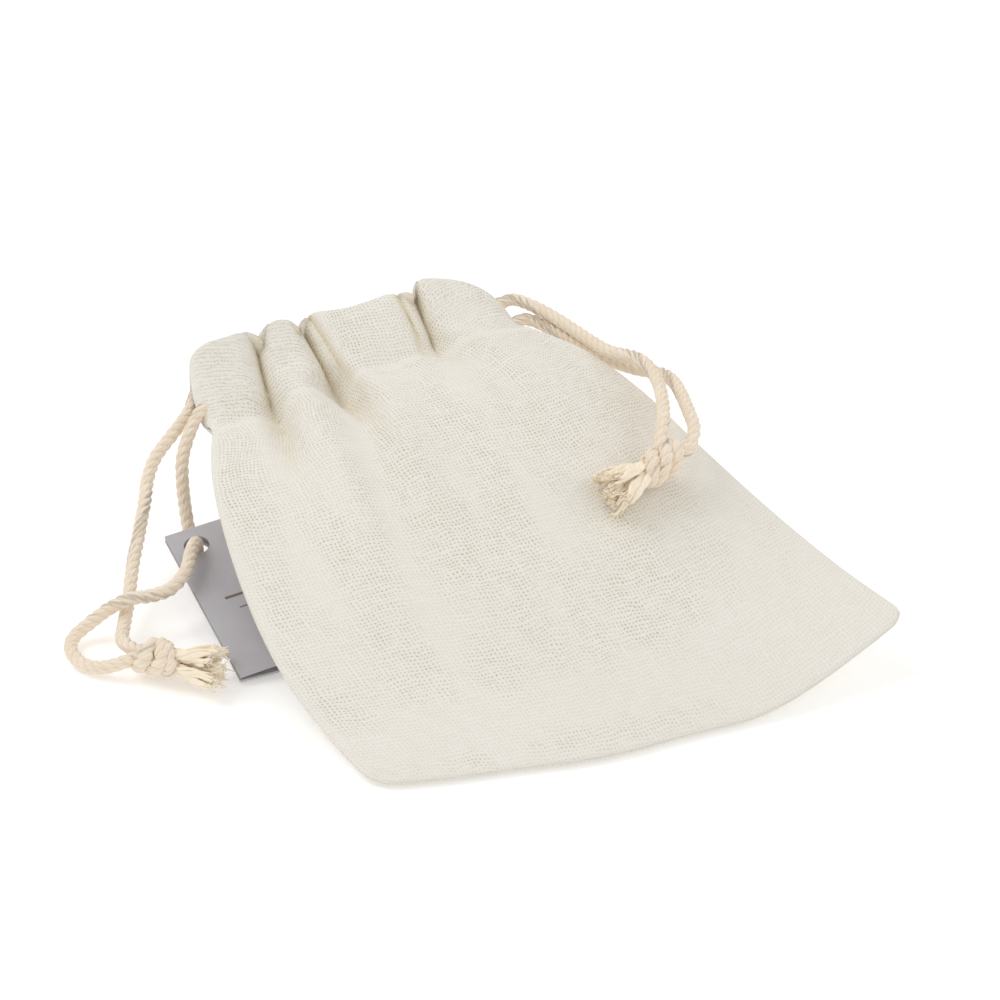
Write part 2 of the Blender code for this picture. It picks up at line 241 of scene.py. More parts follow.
def cord_material(name, light, dark, stripes, twist, relief):
    """Soft spun cotton: fine fibres run at a slant round each strand."""
    n = Nodes(name)
    _, u, v = n.uv()
    slant = n.math("ADD", n.math("MULTIPLY", v, stripes), n.math("MULTIPLY", u, twist))
    lines = n.math("MULTIPLY_ADD", n.math("SINE", n.math("MULTIPLY", slant, 2 * pi)), 0.5, 0.5)
    rough = n.noise(n.combine(n.math("MULTIPLY", slant, 2.4), n.math("MULTIPLY", u, 420.0), 0.0),
                    1.0, 4.0, 0.65)
    mottle = n.noise(n.coords(), 170.0, 3.0)
    tone = n.math("ADD", n.math("MULTIPLY", rough, 0.55), n.math("MULTIPLY", mottle, 0.45))
    base = n.ramp(tone, ((0.32, dark), (0.62, light)))
    base = n.mix(n.math("MULTIPLY", lines, 0.55), base, tuple(0.95 * c for c in dark))
    # Painted shade between the strands of a cord; on the loose yarn the same value gives each yarn a random
    # darker tone.
    base = n.mix(n.math("MULTIPLY", n.attribute("shade_and_tone"), 0.8, clamp=True), base,
                 tuple(0.90 * c for c in dark))
    height = n.math("ADD", n.math("MULTIPLY", lines, 0.5), rough)
    normal = n.bump(height, relief, 0.00020)
    n.shader.inputs["Roughness"].default_value = 0.9
    n.shader.inputs["Specular IOR Level"].default_value = 0.15
    n.shader.inputs["Sheen Weight"].default_value = 0.2
    return n.out(Base_Color=base, Normal=normal)


def card_material(name, colour, ink):
    """Uncoated card: paper grain, with two plain printed rules."""
    n = Nodes(name)
    _, u, v = n.uv()
    grain = n.noise(n.coords(), 2600.0, 3.0)
    cloud = n.noise(n.coords(), 120.0, 2.0)
    base = n.ramp(n.math("ADD", n.math("MULTIPLY", grain, 0.5), n.math("MULTIPLY", cloud, 0.5)),
                  ((0.35, tuple(0.93 * c for c in colour)), (0.65, tuple(1.04 * c for c in colour))))

    def band(x, low, high):
        return n.math("MULTIPLY", n.math("GREATER_THAN", x, low * MM), n.math("LESS_THAN", x, high * MM))

    first, second = (n.math("MULTIPLY", band(u, *across), band(v, *along)) for across, along in RULES)
    base = n.mix(n.math("MAXIMUM", first, second), base, ink)
    n.shader.inputs["Roughness"].default_value = 0.72
    n.shader.inputs["Specular IOR Level"].default_value = 0.3
    return n.out(Base_Color=base, Normal=n.bump(grain, 0.25, 0.00004))


# ---------------------------------------------------------------- mesh helpers

def set_uvs(data, uvs):
    """Gives a mesh the UV layer "cloth" from one pair per vertex, in metres."""
    layer = data.uv_layers.new(name="cloth")
    loops = np.zeros(len(data.loops), int)
    data.loops.foreach_get("vertex_index", loops)
    layer.data.foreach_set("uv", np.asarray(uvs, float)[loops].ravel())


def new_mesh(name, points, faces, mat, uvs, facts):
    """points in drawing mm; uvs per vertex in metres; facts are named values per vertex."""
    data = bpy.data.meshes.new(name)
    data.from_pydata(world(points).tolist(), [], faces)
    set_uvs(data, uvs)
    for key, values in facts.items():
        held = data.attributes.new(key, "FLOAT", "POINT")
        held.data.foreach_set("value", np.asarray(values, float).ravel())
    data.polygons.foreach_set("use_smooth", [True] * len(data.polygons))
    data.materials.append(mat)
    data.update()
    item = bpy.data.objects.new(name, data)
    bpy.context.scene.collection.objects.link(item)
    return item


def grid_faces(rows, columns, wrap=False):
    """Quads between the points of a grid, listed row by row; wrap closes each row into a ring."""
    last = columns if wrap else columns - 1
    j, i = np.meshgrid(np.arange(rows - 1), np.arange(last), indexing="ij")
    i2 = (i + 1) % columns
    quad = np.stack([j * columns + i, j * columns + i2, (j + 1) * columns + i2, (j + 1) * columns + i], -1)
    return quad.reshape(-1, 4).tolist()


def run_along(path):
    """Distance along a path at each of its points."""
    return np.concatenate([[0], np.cumsum(np.linalg.norm(np.diff(path, axis=0), axis=1))])


def smooth_path(points, spacing):
    """Points along a Catmull-Rom curve through the given ones, evenly spaced."""
    p = np.asarray(points, float)
    p = np.vstack([2 * p[0] - p[1], p, 2 * p[-1] - p[-2]])
    t = np.linspace(0, 1, 24, endpoint=False)[:, None]
    parts = [0.5 * (2 * b + (c - a) * t + (2 * a - 5 * b + 4 * c - d) * t**2 + (3 * b - a - 3 * c + d) * t**3)
             for a, b, c, d in zip(p, p[1:], p[2:], p[3:])]
    dense = np.vstack(parts + [p[-2:-1]])
    run = run_along(dense)
    count = max(3, int(round(run[-1] / spacing)) + 1)
    at = np.linspace(0, run[-1], count)
    return np.stack([np.interp(at, run, dense[:, k]) for k in range(3)], -1)


def frames(path):
    """Two steady cross directions at each point of a path."""
    tangent = np.gradient(path, axis=0)
    tangent /= np.linalg.norm(tangent, axis=1)[:, None]
    side = np.cross(tangent[0], (0.0, 0.0, 1.0))
    if np.linalg.norm(side) < 0.2:
        side = np.cross(tangent[0], (0.0, 1.0, 0.0))
    sides = []
    for t in tangent:
        side = side - t * side.dot(t)
        side /= np.linalg.norm(side)
        sides.append(side)
    sides = np.array(sides)
    return sides, np.cross(tangent, sides)


def tube(path, radius, sides):
    """Points, faces and UVs of a closed tube; radius is a number or one value per ring."""
    across, over = frames(path)
    radius = np.broadcast_to(np.asarray(radius, float), (len(path),))
    angle = np.arange(sides) * 2 * pi / sides
    ring = across[:, None] * np.cos(angle)[None, :, None] + over[:, None] * np.sin(angle)[None, :, None]
    points = (path[:, None] + ring * radius[:, None, None]).reshape(-1, 3)
    run = run_along(path)
    uvs = np.stack(np.broadcast_arrays(run[:, None] * MM, angle[None] / (2 * pi)), -1).reshape(-1, 2)
    faces = [face[::-1] for face in grid_faces(len(path), sides, wrap=True)]
    points = np.vstack([points, path[0], path[-1]])
    uvs = np.vstack([uvs, (0, 0.5), (run[-1] * MM, 0.5)])
    first, last, end = len(path) * sides, len(path) * sides + 1, (len(path) - 1) * sides
    for k in range(sides):
        k2 = (k + 1) % sides
        faces.append((first, k, k2))
        faces.append((last, end + k2, end + k))
    return points, faces, uvs


def join(parts):
    """Several (points, faces, uvs, painted shade and tone) sets as one."""
    points, faces, uvs, shade_and_tone, start = [], [], [], [], 0
    for p, f, uv, c in parts:
        points.append(p)
        faces.extend([tuple(k + start for k in face) for face in f])
        uvs.append(uv)
        shade_and_tone.append(c)
        start += len(p)
    return np.vstack(points), faces, np.vstack(uvs), np.concatenate(shade_and_tone)


def rope_parts(path, radius, phase):
    """Twisted strands along a path, with painted shade values that grow towards the cord's middle, between
    the strands.
    """
    across, over = frames(path)
    run, rings = run_along(path), len(path)
    parts = []
    for k in range(STRANDS):
        turn = 2 * pi * (run / LAY + k / STRANDS) + phase
        offset = across * np.cos(turn)[:, None] + over * np.sin(turn)[:, None]
        strand_path = path + offset * radius * STRAND_OFFSET
        points, faces, uvs = tube(strand_path, radius * STRAND_R, STRAND_SIDES)
        away = points[: rings * STRAND_SIDES].reshape(rings, STRAND_SIDES, 3) - path[:, None]
        valley_shade = 1 - np.clip((np.linalg.norm(away, axis=2) / radius - 0.55) / 0.35, 0, 1)
        shade_and_tone = np.concatenate([valley_shade.ravel(), [1, 1]])
        parts.append((points, faces, uvs + np.array((0.013 * k, 0.0)), shade_and_tone))
    return parts


def soft_piece(name, parts, mat, slot_name, body, *replaced):
    """One object from several parts, riding on a body in place of the CAD nodes it replaces."""
    points, faces, uvs, shade_and_tone = join(parts)
    item = new_mesh(name, points, faces, mat, uvs, {"shade_and_tone": shade_and_tone})
    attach(item, body)
    if replaced:
        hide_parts(*replaced)
    return item


# ---------------------------------------------------------------- cords

LEFT_END, MIDDLE, RIGHT_END = -58.0, -22.5, 13.0     # the channel is level as far as its middle, then rises
CHANNEL_Y, CHANNEL_Z, RISE = 51.4, 31.0, 7.5
TILT = radians(15.0)
LANE, HIDDEN = 3.6, 34.0


def channel_z(x):
    return CHANNEL_Z + RISE * np.maximum(0.0, (np.asarray(x) - MIDDLE) / (RIGHT_END - MIDDLE))


def lane(x, side):
    return (x, CHANNEL_Y + side * LANE * cos(TILT), float(channel_z(x)) + side * LANE * sin(TILT))


ROUTES = {
    "left_strand_outer": [
        lane(LEFT_END + HIDDEN, 1), lane(LEFT_END + 20, 1), lane(LEFT_END, 1), (-60.8, 53.6, 30.6),
        (-63.2, 51.2, 28.0), (-68.0, 48.0, 25.0), (-72.7, 45.6, 21.5), (-75.7, 42.0, 18.4),
        (-77.9, 37.0, 15.9), (-81.2, 30.2, 12.6), (-84.6, 23.4, 9.2), (-87.7, 15.8, 6.2),
        (-90.2, 9.8, 4.8), (-92.6, 3.2, 4.6), (-92.2, -0.9, 5.2), (-90.8, -3.6, 5.3), (-89.6, -5.0, 5.3)],
    "left_strand_inner": [
        lane(LEFT_END + HIDDEN, -1), lane(LEFT_END + 20, -1), lane(LEFT_END, -1), (-60.8, 47.5, 30.2),
        (-64.0, 45.8, 27.4), (-67.2, 43.0, 22.0), (-68.4, 40.2, 17.0), (-68.6, 38.4, 11.6),
        (-68.8, 35.4, 6.6), (-69.3, 30.0, 3.5), (-69.9, 25.8, 5.8), (-70.0, 24.5, 9.0),
        (-70.6, 22.8, 12.0), (-72.9, 18.3, 12.8), (-75.6, 13.4, 11.2), (-79.8, 10.6, 9.6),
        (-84.2, 9.8, 9.4), (-88.6, 10.0, 9.6), (-93.0, 11.6, 7.2), (-97.3, 12.6, 3.8),
        (-101.0, 11.2, 2.2), (-102.8, 7.0, 1.9), (-102.0, 1.6, 1.9), (-99.4, -2.0, 2.4),
        (-96.2, -4.2, 3.6), (-93.4, -5.0, 4.6), (-91.2, -5.2, 5.0), (-89.8, -5.8, 5.2)],
    "right_strand_outer": [
        lane(RIGHT_END - HIDDEN, 1), lane(RIGHT_END - 20, 1), lane(RIGHT_END, 1), (15.6, 53.8, 40.2),
        (18.0, 50.2, 40.2), (20.7, 44.5, 39.8), (23.0, 38.3, 39.2), (24.9, 31.0, 39.0),
        (26.4, 25.0, 39.2), (28.3, 20.8, 39.9), (30.1, 16.4, 40.7), (30.5, 10.9, 41.0), (29.5, 4.4, 41.0),
        (27.8, -1.6, 40.5), (25.8, -6.9, 39.6), (24.0, -10.2, 38.6), (22.7, -12.6, 37.0),
        (21.9, -14.0, 35.2)],
    "right_strand_inner": [
        lane(RIGHT_END - HIDDEN, -1), lane(RIGHT_END - 20, -1), lane(RIGHT_END, -1), (16.6, 48.2, 37.6),
        (19.4, 45.6, 36.9), (21.9, 40.9, 36.4), (24.4, 35.0, 35.7), (26.8, 29.3, 35.4),
        (29.2, 24.8, 35.4), (31.3, 20.7, 35.8), (33.6, 17.0, 36.4), (35.3, 13.0, 37.2), (35.2, 7.6, 37.8),
        (34.0, 1.4, 38.2), (32.2, -6.5, 38.2), (31.2, -10.9, 37.6), (29.8, -13.3, 36.4),
        (28.4, -14.6, 35.2), (26.4, -15.0, 34.2), (24.8, -15.0, 33.4)],
}
KNOTS = {"left": ((-91.2, -4.2, 5.3), (0.77, -0.64, 0.0)),
         "right": ((25.2, -14.0, 33.4), (-0.94, -0.28, -0.12))}
KNOT_LENGTH = 8.8
# Wraps of the knot: place along it and reach from its axis in mm, slant as a share of the reach, start angle.
KNOT_WRAPS = ((2.0, 2.45, 0.75, 0.4), (4.4, 2.65, 0.85, 0.7), (6.7, 2.35, 0.75, 0.2))
OUTER_BUNDLES = 6              # bundles of yarn in a frayed end, round one more in the middle
BUNDLE_YARNS, YARN_HAIRS = 11, 2
YARN_FLOOR = {"left": 0.5, "right": -np.inf}   # the left end lies on the table, the right one is clear of it


def make_cord(node, mat):
    """One strand of a drawcord, from inside the channel to its knot."""
    path = smooth_path(ROUTES[node], 0.45)
    body = node.split("_")[0] + "_drawcord"
    item = soft_piece(node.replace("strand", "cord"), rope_parts(path, CORD_R, phase=len(node)), mat,
                      "cotton_cord", body, node)
    world(path[0])
    world(path).tolist()


def knot_axes(label):
    """Where a knot starts, the way it points, and two directions across it."""
    start, axis = (np.array(v, float) for v in KNOTS[label])
    axis /= np.linalg.norm(axis)
    across = np.cross(axis, (0, 0, 1))
    across /= np.linalg.norm(across)
    return start, axis, across, np.cross(across, axis)


def make_knot(label, mat):
    """Overhand knot in the doubled cord: slanting wraps, drawn tight round the cords that pass through."""
    start, axis, across, over = knot_axes(label)
    sign = 1.0 if label == "left" else -1.0
    parts = []
    for k, (along, reach, lean, turn) in enumerate(KNOT_WRAPS):
        angle = np.linspace(0, 2.25 * pi, 64) + turn
        out = across * np.cos(angle)[:, None] + over * np.sin(angle)[:, None]
        ramp = np.linspace(-0.6, 0.6, 64) + sign * lean * reach * np.sin(angle + 0.6 * k)
        shrink = 1 - 0.28 * np.abs(np.linspace(-1, 1, 64)) ** 8
        path = start + axis * (along + ramp)[:, None] + out * (reach * shrink)[:, None]
        path = smooth_path(path[::4], 0.4)
        parts += rope_parts(path, CORD_R * 1.08, phase=k * 1.3)
    for side in (-1, 1):
        core = (start + across * side * 1.1 + axis * np.linspace(0.2, KNOT_LENGTH + 0.6, 12)[:, None])
        core = smooth_path(core, 0.5)
        parts += rope_parts(core, CORD_R * 1.15, phase=side)
    soft_piece(label + "_overhand_knot", parts, mat, "cotton_cord", label + "_drawcord", label + "_knot")


def make_tassel(label, mat, seed):
    """Frayed ends: bundles of crimped yarn opening out of the knot, with loose fibres at their tips."""
    start, axis, across, over = knot_axes(label)
    random = np.random.default_rng(seed)
    floor = YARN_FLOOR[label]
    parts = []
    for bundle in range(OUTER_BUNDLES + 1):
        angle = 2 * pi * bundle / OUTER_BUNDLES + random.uniform(-0.3, 0.3)
        lean = 0.0 if bundle == OUTER_BUNDLES else random.uniform(1.0, 1.5)
        side = across * cos(angle) + over * sin(angle) * 0.8
        reach, wave = random.uniform(9.0, 11.5), random.uniform(0, 2 * pi)
        for _ in range(BUNDLE_YARNS):
            spot, around = np.sqrt(random.uniform(0, 1)), random.uniform(0, 2 * pi)
            local = across * cos(around) + over * sin(around)
            t = np.linspace(0, 1, 12)[:, None]
            swirl = across * np.cos(around + 2.2 * t) + over * np.sin(around + 2.2 * t)
            swirl = swirl * spot * (0.75 + 0.9 * t)
            crimp = 0.22 * np.sin(t * random.uniform(9, 16) + wave) * local
            path = (start + axis * (KNOT_LENGTH - 1.0 + reach * random.uniform(0.88, 1.06) * t)
                    + side * lean * (1.2 + 2.5 * t**1.2) + swirl + crimp)
            path[:, 2] = np.maximum(path[:, 2], floor)
            path = smooth_path(path, 0.5)
            thick = random.uniform(0.40, 0.60) * (1 - 0.35 * np.linspace(0, 1, len(path)) ** 4)
            points, faces, uvs = tube(path, thick, 7)
            # The last value darkens each yarn by a random tone: yarn colour, not shade.
            parts.append((points, faces, uvs, np.full(len(points), random.uniform(0.0, 0.15))))
            for _ in range(YARN_HAIRS):
                drift = axis * random.uniform(0.6, 1.6) + random.normal(0, 0.55, 3)
                t3 = np.linspace(0, 1, 5)[:, None]
                hair = (path[-1 - random.integers(0, 6)] + random.normal(0, 0.2, 3) + drift * t3
                        + random.normal(0, 0.25, 3) * t3**2)
                hair[:, 2] = np.maximum(hair[:, 2], floor - 0.3)
                points, faces, uvs = tube(hair, 0.13, 4)
                parts.append((points, faces, uvs, np.zeros(len(points))))
    soft_piece(label + "_frayed_end", parts, mat, "cotton_yarn", label + "_drawcord", label + "_tassel")


# ---------------------------------------------------------------- cloth shape

STATION = (0.0, 0.17, 0.35, 0.53, 0.71, 0.86, 1.0)
SIDE_Y = (-60.0, -43.0, -24.0, -4.0, 15.6, 29.2, 40.2)
LEFT_X = (-59.0, -63.5, -67.0, -68.0, -67.0, -64.5, -61.0)
LEFT_Z = (1.4, 4.0, 8.5, 15.0, 22.5, 26.0, 28.0)
RIGHT_X = (58.0, 51.5, 44.5, 37.0, 30.5, 23.5, 14.2)
RIGHT_Z = (13.5, 16.0, 20.5, 27.0, 33.0, 37.0, 39.6)
ARCH = (0.0, 3.5, 6.5, 8.2, 7.8, 5.4, 2.4)
BOTTOM_BOW = 8.0
BELLY = 4.0
CLOTH_T = 0.28
LENGTH = 108.0                # cloth from the bottom seam to the stitch line
EDGE_R = 1.3                  # rounding of the seamed edges
EDGE_H = 0.8
CORNER = 4.0                  # rounding of the lower corners

SIDE_ROUND = (5.0, 10.0)      # rounding of the channel where it turns down at its left and right ends
SIDE_DROP = (4.6, 4.8)        # and how far it drops there
PUFF, ROLL = 1.2, 3.4         # how far the channel swells, and how far it drops as it turns over at the lip

LIP_MID, LIP_REACH = -24.4, 34.1       # middle and half width of the lip along x
END_WIDTH = 35.0                       # half width of the channel, as its rounded ends count it
END_SHIFT = (2.2, -0.6)                # how far the channel's left and right ends move towards -X
BAND_REACH, BAND_TURN = 17.6, 1.38     # how far the channel reaches along y, and the angle it turns through
NARROWING = 3.2                        # how much the pleats close up over the channel
EDGE_FADE = 5.0                        # pleats and folds fade out this near a side seam
LEAST_UP = 0.35                        # least upward share of the direction that pleats are pushed in
HEM_BELOW, HEM_GAP = 2.5, 0.45         # inner layer: how far under the cords, and least gap to the outer one

BACK_FLAT = (0.20, 0.45)               # share of the back's left and right half that lies flat
BACK_CORNER = (3.0, -4.5)              # how far the back's left and right corners rise at the lip
BACK_REACH = 16.0                      # how far the back channel reaches along y
BACK_HEM, BACK_HEM_GAP = 4.6, 0.5      # depth of the back channel in its middle, and at its edges
TABLE_GAP = 0.3                        # the back lies this far above the table

LIP_STATION = (-1.0, -0.8, -0.47, -0.20, 0.0, 0.21, 0.37, 0.50, 0.60, 0.80, 1.0)
LIP_Z = (43.2, 44.0, 45.9, 46.2, 45.8, 46.8, 48.2, 50.0, 49.6, 47.6, 45.0)


def through(values, at, stations=STATION):
    """Smooth value at the given places, through the listed values."""
    values, stations = np.asarray(values, float), np.asarray(stations, float)
    slope = np.gradient(values, stations)
    i = np.clip(np.searchsorted(stations, at, side="right") - 1, 0, len(stations) - 2)
    h = stations[i + 1] - stations[i]
    t = np.clip((at - stations[i]) / h, 0, 1)
    return ((2 * t**3 - 3 * t**2 + 1) * values[i] + (t**3 - 2 * t**2 + t) * h * slope[i]
            + (3 * t**2 - 2 * t**3) * values[i + 1] + (t**3 - t**2) * h * slope[i + 1])


def ease(x, low, high):
    """0 below low, 1 above high, smooth between."""
    t = np.clip((x - low) / (high - low), 0, 1)
    return t * t * (3 - 2 * t)


def half_width(s):
    """Half width of the pouch at s, in mm."""
    inside = np.clip(s, 0, 1)
    return (through(RIGHT_X, inside) - through(LEFT_X, inside)) / 2


def rounded_corner(r, s):
    """Pulls the cloth in at the two lower corners, in mm along x and y."""
    a, b = (1 - np.abs(r)) * half_width(s), s * LENGTH
    u, v = np.maximum(CORNER - a, 0), np.maximum(CORNER - b, 0)
    both = (u > 0) & (v > 0)
    scale = np.where(both, np.maximum(u, v) / np.maximum(np.hypot(u, v), 1e-6), 1.0)
    return np.sign(r) * -u * (1 - scale), v * (1 - scale)


def seam_sheet(r, s):
    """Sheet between the two panels, up to the stitch line."""
    inside = np.clip(s, 0, 1)
    x = through(LEFT_X, inside) * (1 - r) / 2 + through(RIGHT_X, inside) * (1 + r) / 2
    y = through(SIDE_Y, inside) - BOTTOM_BOW * (1 - r * r) * (1 - inside) ** 3
    low, high = through(LEFT_Z, inside), through(RIGHT_Z, inside)
    lift = np.maximum(0.0, (r - 0.3) / 0.7) ** 1.5
    curled = low + (high - low) * lift
    straight = low + (high - low) * (1 + r) / 2
    share = np.clip(inside / 0.35, 0, 1)
    dx, dy = rounded_corner(r, inside)
    ripple = 0.5 * np.sin(9.0 * r + 0.5) * np.exp(-inside / 0.06) * (1 - r * r)
    return x + dx, y + dy + ripple, curled * (1 - share) + straight * share


def edge_round(r, s):
    """How far the cloth stands off the seam sheet near a seamed edge."""
    side = np.clip((1 - np.abs(r)) * half_width(s) / EDGE_R, 0, 1)
    foot = np.clip(s * LENGTH / EDGE_R, 0, 1)
    d = np.minimum(side, foot)
    return EDGE_H * np.sqrt(np.maximum(0, 1 - (1 - d) ** 2))


# Pleat grooves: place across at the lip and at the stitch line, depth and rounding in mm, end in s.
GROOVES = (
    (-0.590, -0.630, 5.2, 4.6, 0.56),
    (-0.335, -0.230, 5.4, 4.2, 0.62),
    (-0.260, -0.150, 1.3, 2.6, 0.80),
    (0.355, 0.340, 1.8, 3.0, 0.90),
    (0.440, 0.420, 5.2, 4.6, 0.84),
)
# Soft folds of the panel: place across at their upper and lower end, height and width in mm, from s, to s.
FOLDS = (
    (-0.80, -0.74, -1.3, 5.0, 0.10, 0.95),
    (-0.44, -0.50, 1.6, 4.0, 0.30, 1.05),
    (-0.25, -0.40, -2.0, 5.0, 0.25, 1.00),
    (-0.10, -0.27, 1.3, 4.0, 0.28, 0.98),
    (0.10, -0.02, -0.9, 6.0, 0.40, 0.98),
    (0.42, 0.36, -1.2, 5.0, 0.55, 1.00),
    (0.60, 0.50, 1.2, 9.0, 0.30, 0.98),
)


def fillet(d):
    """0 at a groove's bottom, 1 from one rounding radius away: the side of a soft pleat."""
    return np.sqrt(np.maximum(0, 1 - (1 - np.clip(d, 0, 1)) ** 2))


def gathers(r, s):
    """Offset out of the cloth in mm, and how much painted shade each point gets from lying in a pleat groove.
    """
    wide_half = half_width(s) - NARROWING * np.clip(s - 1, 0, 1)
    offset = np.zeros_like(r)
    shade_and_tone = np.zeros_like(r)
    for lip, stitch, depth, width, end in GROOVES:
        down = 2.0 - s
        centre = lip + (stitch - lip) * down
        strength = ease(s, end, min(end + 0.38, 1.25))
        widened = width * (1 + 1.2 * np.clip(1.2 - s, 0, 1) * 2)
        d = np.abs((r - centre) * wide_half) / widened
        soft = np.clip((1.25 - s) / 0.35, 0, 1)
        hollow = (1 - fillet(d)) * (1 - soft) + np.exp(-((2.2 * d) ** 2)) * soft
        offset = offset - depth * strength * hollow
        # Painted shade: strongest at the bottom of each groove.
        shade_and_tone = np.maximum(shade_and_tone, strength * np.exp(-((width * d / 0.9) ** 1.5)) * (1 - 0.5 * soft))
    for top, low, height, width, start, end in FOLDS:
        centre = low + (top - low) * np.clip((s - start) / (end - start), 0, 1)
        strength = ease(s, start, start + 0.4) * (1 - ease(s, end, end + 0.3))
        d = (r - centre) * wide_half / width
        offset = offset + height * strength * np.exp(-d * d)
    return offset, shade_and_tone


def stack(x, y, z):
    """Points from their three coordinates."""
    return np.stack(np.broadcast_arrays(x, y, z), -1)


def front_base(r, s):
    """Outside of the front cloth without its pleats: a panel, then a channel that turns over at its lip."""
    x, y, z = seam_sheet(r, s)
    z = (z + through(ARCH, np.clip(s, 0, 1)) * (1 - np.abs(r) ** 2.4)
         + edge_round(r, s) * (1 - ease(s, 0.96, 1.06)))
    up = np.clip(s - 1, 0, 1)
    lip_x = LIP_MID + LIP_REACH * r
    top = through(LIP_Z, r, LIP_STATION)
    rise = 0.72 * up + 0.28 * up**1.5
    roll = 1 - fillet((1 - up) / 0.42)
    side = fillet((1 - np.abs(r)) * END_WIDTH / np.where(r < 0, *SIDE_ROUND))
    x = x + (lip_x - x) * up - np.where(r < 0, *END_SHIFT) * np.abs(r) ** 3 * ease(up, 0.0, 0.5)
    y = y + BAND_REACH * np.sin(up * BAND_TURN) / sin(BAND_TURN)
    z = z + (top - z) * rise + PUFF * np.sin(pi * up) - ROLL * roll
    return stack(x, y, z - np.where(r < 0, *SIDE_DROP) * (1 - side) * ease(up, 0.0, 0.25))


def normals(shape, r, s):
    """Outward normals of a sheet from small steps in r and s."""
    e = 0.004
    du = shape(np.clip(r + e, -1, 1), s) - shape(np.clip(r - e, -1, 1), s)
    dv = shape(r, np.minimum(s + e, 2)) - shape(r, np.maximum(s - e, 0))
    n = np.cross(du, dv)
    return n / np.maximum(np.linalg.norm(n, axis=-1, keepdims=True), 1e-9)


def front_shape(r, s):
    """Outside of the front cloth with its pleats, up to the lip at s = 2, and its painted groove shade
    values.
    """
    offset, shade_and_tone = gathers(r, s)
    fade = np.clip((1 - np.abs(r)) * half_width(s) / EDGE_FADE, 0, 1) ** 0.7
    out = normals(front_base, r, s)
    out[..., 2] = np.maximum(out[..., 2], LEAST_UP)
    out /= np.linalg.norm(out, axis=-1, keepdims=True)
    return front_base(r, s) + out * (offset * fade)[..., None], shade_and_tone * fade


def hem_shape(r, s):
    """Inner layer of the front channel, from the lip at s = 2 back to the stitch line, under the cords."""
    outer, shade_and_tone = front_shape(r, s)
    x, y, z = (outer[..., k] for k in range(3))
    shade_and_tone_colour = channel_z(x) + (y - CHANNEL_Y) * sin(TILT) / cos(TILT) - HEM_BELOW
    window = np.sqrt(np.clip(1 - np.abs(2 * (s - 1) - 1) ** 3.0, 0, 1))
    low = np.minimum(z + (shade_and_tone_colour - z) * window, z - HEM_GAP)
    return stack(x, y, low), shade_and_tone


def sheet_rows(s_rows, r_columns):
    """Grids of r, -1 to 1 across the cloth, and s, 0 at the bottom seam, 1 at the stitches, 2 at the lip."""
    return np.meshgrid(np.asarray(r_columns), np.asarray(s_rows))


def cloth_uv(points, shift=0.0):
    """Flat cloth coordinates in metres of a grid of points: the length run along the cloth both ways."""
    along = np.linalg.norm(np.diff(points, axis=0), axis=2)
    across = np.linalg.norm(np.diff(points, axis=1), axis=2)
    v = np.concatenate([np.zeros((1, points.shape[1])), np.cumsum(along, axis=0)])
    u = np.concatenate([np.zeros((points.shape[0], 1)), np.cumsum(across, axis=1)], axis=1)
    u = u - u[:, points.shape[1] // 2, None]
    return np.stack([u * MM + shift, v * MM], -1).reshape(-1, 2)


# Streaks where the panels touch: place across at the bottom and at the stitch line, width, strength.
STREAKS = ((-0.52, -0.27, 0.045, 0.9), (-0.78, -0.70, 0.07, 0.7), (0.05, 0.30, 0.05, 0.5))


def front_contact(r, s):
    """Where two layers touch, the holes hardly show: bottom, seams, lip and raised right corner."""
    open_strip = 0.7 * np.exp(-((s - 0.03) / 0.025) ** 2) * (1 - ease(r, 0.1, 0.5))
    foot = (1 - ease(s, 0.10, 0.20)) * (1 - open_strip)
    right = ease(r + 0.9 * (0.5 - s), 0.55, 1.0) * (1 - ease(s, 0.8, 1.0)) * 0.8
    seam = ease(np.abs(r), 0.95, 0.985) * 0.9
    stitch = 0.9 * np.exp(-((s - 1.0) / 0.022) ** 2) + 0.9 * ease(s, 1.70, 2.0)
    streaks = np.zeros_like(r)
    for low, high, wide, strength in STREAKS:
        centre = low + (high - low) * s
        streaks += (strength * np.exp(-((r - centre) / wide) ** 2)
                    * ease(s, 0.1, 0.3) * (1 - ease(s, 0.85, 1.0)))
    return np.clip(foot + right + seam + stitch + streaks, 0, 1)


def thick_cloth(item):
    solid = item.modifiers.new("thickness", "SOLIDIFY")
    solid.thickness = CLOTH_T * MM
    solid.offset = -1.0


def make_front(mat):
    s_rows = np.concatenate([np.linspace(0, 0.03, 8)[:-1], np.linspace(0.03, 0.8, 110)[:-1],
                             np.linspace(0.8, 1, 50)[:-1], np.linspace(1, 2, 60)])
    edge = np.linspace(0, 0.05, 9)
    columns = np.concatenate([edge[:-1] - 1, np.linspace(-0.95, 0.95, 300)[:-1], 1 - edge[::-1]])
    r, s = sheet_rows(s_rows, columns)
    outer, shade_and_tone = front_shape(r, s)
    hem_s = np.linspace(2, 1, 30)[1:]
    rh, sh = sheet_rows(hem_s, columns)
    inner, hem_groove_shades = hem_shape(rh, sh)
    points = np.concatenate([outer, inner])
    groove_shades = np.concatenate([shade_and_tone, hem_groove_shades]).ravel()
    contact = np.concatenate([front_contact(r, s), front_contact(rh, sh)]).ravel()
    rows = len(s_rows) + len(hem_s)
    item = new_mesh("front_cloth", points.reshape(-1, 3), grid_faces(rows, len(columns)), mat,
                    cloth_uv(points), {"shade_and_tone": 0.7 * groove_shades, "contact": contact})
    thick_cloth(item)
    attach(item, "pouch")
    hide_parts("front_panel", "front_channel", "front_stitching")


